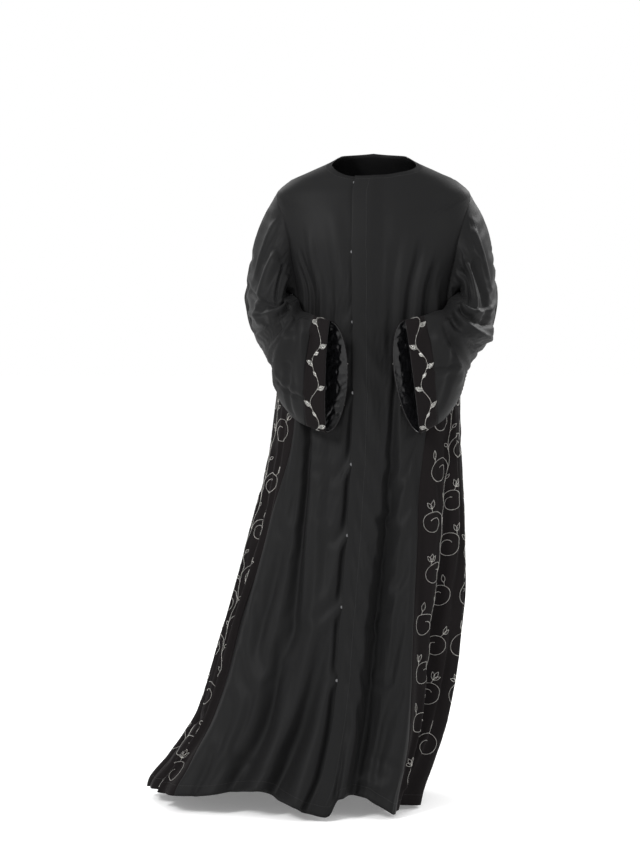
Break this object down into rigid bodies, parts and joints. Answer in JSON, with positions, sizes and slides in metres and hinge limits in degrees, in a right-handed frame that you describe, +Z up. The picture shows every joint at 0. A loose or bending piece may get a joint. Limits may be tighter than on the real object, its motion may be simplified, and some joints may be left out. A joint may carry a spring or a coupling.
{
  "type": "abaya cloak",
  "caption": "Full-length open-front abaya in plain crepe with wide sleeves, embroidered side panels and cuff bands, and press studs, posed hollow as worn.",
  "frame": {"origin": "between the shoulders at the height where they carry the cloak, on the line of the neck", "axes": "+Z up the standing wearer, +X to the right of someone facing the front (the wearer's left), -Y out of the front"},
  "size_m": [0.7546, 0.4867, 1.3959],
  "materials": {
    "crepe": "plain weave crepe, black, soft low sheen",
    "velvet": "matte deep black cloth with short nap under silver bead vines",
    "satin": "glossy crinkled black satin",
    "snap_metal": "small pressed metal snap, bright"
  },
  "bodies": {
    "root": {"front_left": "crepe", "front_right": "crepe", "back": "crepe", "side_left": "velvet", "side_right": "velvet", "sleeve_left": "crepe", "sleeve_right": "crepe", "cuff_left": "velvet", "cuff_right": "velvet", "facing_left": "satin", "facing_right": "satin", "snap_1": "snap_metal", "snap_2": "snap_metal", "snap_3": "snap_metal", "snap_4": "snap_metal", "snap_5": "snap_metal", "snap_6": "snap_metal", "snap_7": "snap_metal", "snap_8": "snap_metal"}
  },
  "joints": []
}
